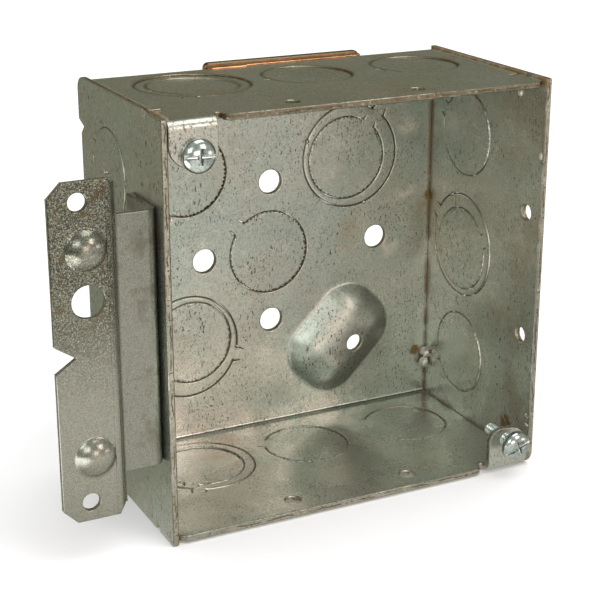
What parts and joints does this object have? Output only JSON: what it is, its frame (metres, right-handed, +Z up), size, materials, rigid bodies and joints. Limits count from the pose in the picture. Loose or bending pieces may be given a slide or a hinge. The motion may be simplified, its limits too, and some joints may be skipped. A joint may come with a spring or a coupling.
{
  "type": "electrical junction box",
  "caption": "Square welded steel junction box, open at the front, with knockouts in every wall, cover-screw ears, a ground-screw boss and a side bracket for a stud.",
  "frame": {"origin": "centre of the rear face of the back wall", "axes": "+X to the right seen from the open front, +Y from the opening to the rear, +Z up"},
  "size_m": [0.1277, 0.062, 0.1032],
  "materials": {
    "galvanised_steel": "spangled zinc coating, greenish grey, with dark pits and rust in the seams",
    "bracket_steel": "dull zinc coating, speckled dark olive on the upper half",
    "tinted_strip": "zinc-coated steel strip with a copper-brown tint",
    "screw_zinc": "bright zinc plating"
  },
  "bodies": {
    "root": {"box_channel": "galvanised_steel", "side_plate_left": "galvanised_steel", "side_plate_right": "galvanised_steel", "stud_bracket": "bracket_steel", "rear_top_strip": "tinted_strip"},
    "knockout_back_upper_left_disc": {"knockout_back_upper_left_disc": "galvanised_steel"},
    "knockout_back_upper_right_ring": {"knockout_back_upper_right_ring": "galvanised_steel"},
    "knockout_back_upper_right_disc": {"knockout_back_upper_right_disc": "galvanised_steel"},
    "knockout_back_lower_left_ring": {"knockout_back_lower_left_ring": "galvanised_steel"},
    "knockout_back_lower_left_disc": {"knockout_back_lower_left_disc": "galvanised_steel"},
    "knockout_back_centre_disc": {"knockout_back_centre_disc": "galvanised_steel"},
    "knockout_top_left_ring": {"knockout_top_left_ring": "galvanised_steel"},
    "knockout_top_left_disc": {"knockout_top_left_disc": "galvanised_steel"},
    "knockout_top_middle_disc": {"knockout_top_middle_disc": "galvanised_steel"},
    "knockout_top_right_disc": {"knockout_top_right_disc": "galvanised_steel"},
    "knockout_bottom_left_ring": {"knockout_bottom_left_ring": "galvanised_steel"},
    "knockout_bottom_left_disc": {"knockout_bottom_left_disc": "galvanised_steel"},
    "knockout_bottom_middle_disc": {"knockout_bottom_middle_disc": "galvanised_steel"},
    "knockout_bottom_right_disc": {"knockout_bottom_right_disc": "galvanised_steel"},
    "knockout_left_upper_disc": {"knockout_left_upper_disc": "galvanised_steel"},
    "knockout_left_middle_ring": {"knockout_left_middle_ring": "galvanised_steel"},
    "knockout_left_middle_disc": {"knockout_left_middle_disc": "galvanised_steel"},
    "knockout_left_lower_disc": {"knockout_left_lower_disc": "galvanised_steel"},
    "knockout_right_upper_disc": {"knockout_right_upper_disc": "galvanised_steel"},
    "knockout_right_middle_ring": {"knockout_right_middle_ring": "galvanised_steel"},
    "knockout_right_middle_disc": {"knockout_right_middle_disc": "galvanised_steel"},
    "knockout_right_lower_disc": {"knockout_right_lower_disc": "galvanised_steel"},
    "cover_screw_upper": {"cover_screw_upper": "screw_zinc"},
    "cover_screw_lower": {"cover_screw_lower": "screw_zinc"}
  },
  "joints": [
    {"name": "back_upper_left_disc_bend", "type": "hinge", "parent": "root", "child": "knockout_back_upper_left_disc", "pos_m": [-0.03195, 0, 0.03195], "axis": [0.7071, 0, 0.7071], "range_deg": [0, 75]},
    {"name": "back_upper_right_ring_bend", "type": "hinge", "parent": "root", "child": "knockout_back_upper_right_ring", "pos_m": [0.03226, 0, 0.03502], "axis": [0.7986, 0, -0.6018], "range_deg": [0, 75]},
    {"name": "back_upper_right_disc_bend", "type": "hinge", "parent": "knockout_back_upper_right_ring", "child": "knockout_back_upper_right_disc", "pos_m": [0.02947, 0, 0.03229], "axis": [0.7986, 0, -0.6018], "range_deg": [0, 75]},
    {"name": "back_lower_left_ring_bend", "type": "hinge", "parent": "root", "child": "knockout_back_lower_left_ring", "pos_m": [-0.01086, 0, -0.02741], "axis": [-0.2924, 0, -0.9563], "range_deg": [0, 75]},
    {"name": "back_lower_left_disc_bend", "type": "hinge", "parent": "knockout_back_lower_left_ring", "child": "knockout_back_lower_left_disc", "pos_m": [-0.03465, 0, -0.0222], "axis": [0, 0, 1], "range_deg": [0, 75]},
    {"name": "back_centre_disc_bend", "type": "hinge", "parent": "root", "child": "knockout_back_centre_disc", "pos_m": [-0.00909, 0, 0.00738], "axis": [0.6561, 0, 0.7547], "range_deg": [0, 75]},
    {"name": "top_left_ring_bend", "type": "hinge", "parent": "root", "child": "knockout_top_left_ring", "pos_m": [-0.03494, -0.03223, 0.0508], "axis": [0.9063, -0.4226, 0], "range_deg": [0, 75]},
    {"name": "top_left_disc_bend", "type": "hinge", "parent": "knockout_top_left_ring", "child": "knockout_top_left_disc", "pos_m": [-0.04025, -0.0195, 0.0508], "axis": [0, -1, 0], "range_deg": [0, 75]},
    {"name": "top_middle_disc_bend", "type": "hinge", "parent": "root", "child": "knockout_top_middle_disc", "pos_m": [-0.00955, -0.0195, 0.0508], "axis": [0, -1, 0], "range_deg": [0, 75]},
    {"name": "top_right_disc_bend", "type": "hinge", "parent": "root", "child": "knockout_top_right_disc", "pos_m": [0.02115, -0.0195, 0.0508], "axis": [0, -1, 0], "range_deg": [0, 75]},
    {"name": "bottom_left_ring_bend", "type": "hinge", "parent": "root", "child": "knockout_bottom_left_ring", "pos_m": [-0.03494, -0.03223, -0.0508], "axis": [-0.9063, 0.4226, 0], "range_deg": [0, 75]},
    {"name": "bottom_left_disc_bend", "type": "hinge", "parent": "knockout_bottom_left_ring", "child": "knockout_bottom_left_disc", "pos_m": [-0.03545, -0.02872, -0.0508], "axis": [-0.8192, 0.5736, 0], "range_deg": [0, 75]},
    {"name": "bottom_middle_disc_bend", "type": "hinge", "parent": "root", "child": "knockout_bottom_middle_disc", "pos_m": [-0.0085, -0.01475, -0.0508], "axis": [0.4226, 0.9063, 0], "range_deg": [0, 75]},
    {"name": "bottom_right_disc_bend", "type": "hinge", "parent": "root", "child": "knockout_bottom_right_disc", "pos_m": [0.0222, -0.01475, -0.0508], "axis": [0.4226, 0.9063, 0], "range_deg": [0, 75]},
    {"name": "left_upper_disc_bend", "type": "hinge", "parent": "root", "child": "knockout_left_upper_disc", "pos_m": [-0.0508, -0.00922, 0.03558], "axis": [0, 0.4067, -0.9135], "range_deg": [0, 75]},
    {"name": "left_middle_ring_bend", "type": "hinge", "parent": "root", "child": "knockout_left_middle_ring", "pos_m": [-0.0508, -0.00649, 0.0066], "axis": [0, 0.4695, -0.8829], "range_deg": [0, 75]},
    {"name": "left_middle_disc_bend", "type": "hinge", "parent": "knockout_left_middle_ring", "child": "knockout_left_middle_disc", "pos_m": [-0.0508, -0.00765, -0.001], "axis": [0, 0, -1], "range_deg": [0, 75]},
    {"name": "left_lower_disc_bend", "type": "hinge", "parent": "root", "child": "knockout_left_lower_disc", "pos_m": [-0.0508, -0.00893, -0.03485], "axis": [0, -0.342, -0.9397], "range_deg": [0, 75]},
    {"name": "right_upper_disc_bend", "type": "hinge", "parent": "root", "child": "knockout_right_upper_disc", "pos_m": [0.0508, -0.00922, 0.03558], "axis": [0, -0.4067, 0.9135], "range_deg": [0, 75]},
    {"name": "right_middle_ring_bend", "type": "hinge", "parent": "root", "child": "knockout_right_middle_ring", "pos_m": [0.0508, -0.00649, 0.0066], "axis": [0, -0.4695, 0.8829], "range_deg": [0, 75]},
    {"name": "right_middle_disc_bend", "type": "hinge", "parent": "knockout_right_middle_ring", "child": "knockout_right_middle_disc", "pos_m": [0.0508, -0.02918, 0.00358], "axis": [0, -0.4067, -0.9135], "range_deg": [0, 75]},
    {"name": "right_lower_disc_bend", "type": "hinge", "parent": "root", "child": "knockout_right_lower_disc", "pos_m": [0.0508, -0.00893, -0.03485], "axis": [0, 0.342, 0.9397], "range_deg": [0, 75]},
    {"name": "upper_screw_travel", "type": "slide", "parent": "root", "child": "cover_screw_upper", "axis": [0, -1, 0], "range_m": [0, 0.009]},
    {"name": "lower_screw_travel", "type": "slide", "parent": "root", "child": "cover_screw_lower", "axis": [0, -1, 0], "range_m": [-0.0038, 0.005]}
  ]
}
